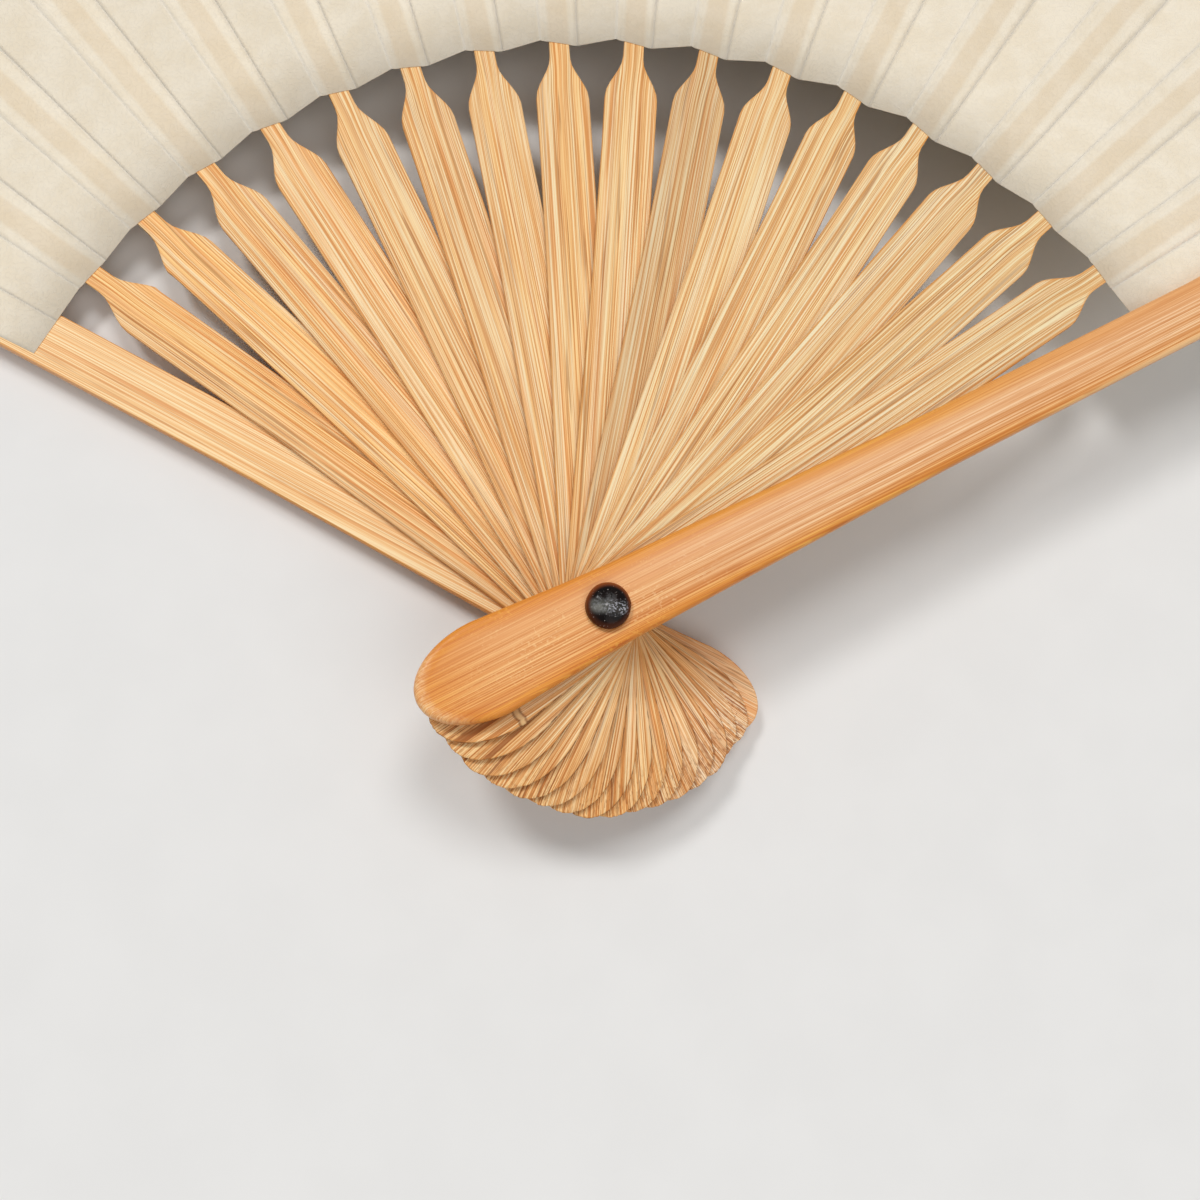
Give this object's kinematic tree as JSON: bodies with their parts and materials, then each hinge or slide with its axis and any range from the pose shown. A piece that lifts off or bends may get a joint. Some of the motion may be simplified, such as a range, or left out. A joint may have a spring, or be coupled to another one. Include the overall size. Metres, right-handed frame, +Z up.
{
  "type": "folding fan",
  "caption": "Folding hand fan of split bamboo sticks on one horn rivet, with a plain pleated paper leaf glued between two thick varnished guards.",
  "frame": {"origin": "on the pivot axis, on the flat under the rear rivet head, where the fan rests", "axes": "+Z up through the stack of sticks to the front guard, +Y along the middle of the open fan, +X towards the front guard's side"},
  "size_m": [0.5264, 0.3239, 0.0323],
  "materials": {
    "varnished_bamboo": "varnished, glossy",
    "plain_bamboo": "smooth, satin",
    "dark_horn": "polished",
    "leaf_paper": "matt"
  },
  "bodies": {
    "rear_guard": {"rear_guard": "varnished_bamboo", "rivet": "dark_horn", "leaf_pleat_01": "leaf_paper"},
    "rib_01": {"rib_01": "plain_bamboo", "leaf_pleat_02": "leaf_paper"},
    "rib_02": {"rib_02": "plain_bamboo", "leaf_pleat_03": "leaf_paper"},
    "rib_03": {"rib_03": "plain_bamboo", "leaf_pleat_04": "leaf_paper"},
    "rib_04": {"rib_04": "plain_bamboo", "leaf_pleat_05": "leaf_paper"},
    "rib_05": {"rib_05": "plain_bamboo", "leaf_pleat_06": "leaf_paper"},
    "rib_06": {"rib_06": "plain_bamboo", "leaf_pleat_07": "leaf_paper"},
    "rib_07": {"rib_07": "plain_bamboo", "leaf_pleat_08": "leaf_paper"},
    "rib_08": {"rib_08": "plain_bamboo", "leaf_pleat_09": "leaf_paper"},
    "rib_09": {"rib_09": "plain_bamboo", "leaf_pleat_10": "leaf_paper"},
    "rib_10": {"rib_10": "plain_bamboo", "leaf_pleat_11": "leaf_paper"},
    "rib_11": {"rib_11": "plain_bamboo", "leaf_pleat_12": "leaf_paper"},
    "rib_12": {"rib_12": "plain_bamboo", "leaf_pleat_13": "leaf_paper"},
    "rib_13": {"rib_13": "plain_bamboo", "leaf_pleat_14": "leaf_paper"},
    "rib_14": {"rib_14": "plain_bamboo", "leaf_pleat_15": "leaf_paper"},
    "rib_15": {"rib_15": "plain_bamboo", "leaf_pleat_16": "leaf_paper"},
    "rib_16": {"rib_16": "plain_bamboo", "leaf_pleat_17": "leaf_paper"},
    "front_guard": {"front_guard": "varnished_bamboo", "leaf_end_strip": "leaf_paper"}
  },
  "joints": [
    {"name": "fold_01", "type": "hinge", "parent": "rear_guard", "child": "rib_01", "pos_m": [0, 0, 0], "axis": [0, 0, 1], "range_deg": [0, 7.32], "deforming": ["leaf_pleat_01"]},
    {"name": "fold_02", "type": "hinge", "parent": "rib_01", "child": "rib_02", "pos_m": [0, 0, 0], "axis": [0, 0, 1], "range_deg": [0, 7.32], "deforming": ["leaf_pleat_02"]},
    {"name": "fold_03", "type": "hinge", "parent": "rib_02", "child": "rib_03", "pos_m": [0, 0, 0], "axis": [0, 0, 1], "range_deg": [0, 7.32], "deforming": ["leaf_pleat_03"]},
    {"name": "fold_04", "type": "hinge", "parent": "rib_03", "child": "rib_04", "pos_m": [0, 0, 0], "axis": [0, 0, 1], "range_deg": [0, 7.32], "deforming": ["leaf_pleat_04"]},
    {"name": "fold_05", "type": "hinge", "parent": "rib_04", "child": "rib_05", "pos_m": [0, 0, 0], "axis": [0, 0, 1], "range_deg": [0, 7.32], "deforming": ["leaf_pleat_05"]},
    {"name": "fold_06", "type": "hinge", "parent": "rib_05", "child": "rib_06", "pos_m": [0, 0, 0], "axis": [0, 0, 1], "range_deg": [0, 7.32], "deforming": ["leaf_pleat_06"]},
    {"name": "fold_07", "type": "hinge", "parent": "rib_06", "child": "rib_07", "pos_m": [0, 0, 0], "axis": [0, 0, 1], "range_deg": [0, 7.32], "deforming": ["leaf_pleat_07"]},
    {"name": "fold_08", "type": "hinge", "parent": "rib_07", "child": "rib_08", "pos_m": [0, 0, 0], "axis": [0, 0, 1], "range_deg": [0, 7.32], "deforming": ["leaf_pleat_08"]},
    {"name": "fold_09", "type": "hinge", "parent": "rib_08", "child": "rib_09", "pos_m": [0, 0, 0], "axis": [0, 0, 1], "range_deg": [0, 7.32], "deforming": ["leaf_pleat_09"]},
    {"name": "fold_10", "type": "hinge", "parent": "rib_09", "child": "rib_10", "pos_m": [0, 0, 0], "axis": [0, 0, 1], "range_deg": [0, 7.32], "deforming": ["leaf_pleat_10"]},
    {"name": "fold_11", "type": "hinge", "parent": "rib_10", "child": "rib_11", "pos_m": [0, 0, 0], "axis": [0, 0, 1], "range_deg": [0, 7.32], "deforming": ["leaf_pleat_11"]},
    {"name": "fold_12", "type": "hinge", "parent": "rib_11", "child": "rib_12", "pos_m": [0, 0, 0], "axis": [0, 0, 1], "range_deg": [0, 7.32], "deforming": ["leaf_pleat_12"]},
    {"name": "fold_13", "type": "hinge", "parent": "rib_12", "child": "rib_13", "pos_m": [0, 0, 0], "axis": [0, 0, 1], "range_deg": [0, 7.32], "deforming": ["leaf_pleat_13"]},
    {"name": "fold_14", "type": "hinge", "parent": "rib_13", "child": "rib_14", "pos_m": [0, 0, 0], "axis": [0, 0, 1], "range_deg": [0, 7.32], "deforming": ["leaf_pleat_14"]},
    {"name": "fold_15", "type": "hinge", "parent": "rib_14", "child": "rib_15", "pos_m": [0, 0, 0], "axis": [0, 0, 1], "range_deg": [0, 7.32], "deforming": ["leaf_pleat_15"]},
    {"name": "fold_16", "type": "hinge", "parent": "rib_15", "child": "rib_16", "pos_m": [0, 0, 0], "axis": [0, 0, 1], "range_deg": [0, 7.32], "deforming": ["leaf_pleat_16"]},
    {"name": "fold_17", "type": "hinge", "parent": "rib_16", "child": "front_guard", "pos_m": [0, 0, 0], "axis": [0, 0, 1], "range_deg": [0, 7.32], "deforming": ["leaf_pleat_17"]}
  ],
  "couplings": [
    {"joint": "fold_02", "follows": "fold_01", "ratio": 1},
    {"joint": "fold_03", "follows": "fold_01", "ratio": 1},
    {"joint": "fold_04", "follows": "fold_01", "ratio": 1},
    {"joint": "fold_05", "follows": "fold_01", "ratio": 1},
    {"joint": "fold_06", "follows": "fold_01", "ratio": 1},
    {"joint": "fold_07", "follows": "fold_01", "ratio": 1},
    {"joint": "fold_08", "follows": "fold_01", "ratio": 1},
    {"joint": "fold_09", "follows": "fold_01", "ratio": 1},
    {"joint": "fold_10", "follows": "fold_01", "ratio": 1},
    {"joint": "fold_11", "follows": "fold_01", "ratio": 1},
    {"joint": "fold_12", "follows": "fold_01", "ratio": 1},
    {"joint": "fold_13", "follows": "fold_01", "ratio": 1},
    {"joint": "fold_14", "follows": "fold_01", "ratio": 1},
    {"joint": "fold_15", "follows": "fold_01", "ratio": 1},
    {"joint": "fold_16", "follows": "fold_01", "ratio": 1},
    {"joint": "fold_17", "follows": "fold_01", "ratio": 1}
  ]
}
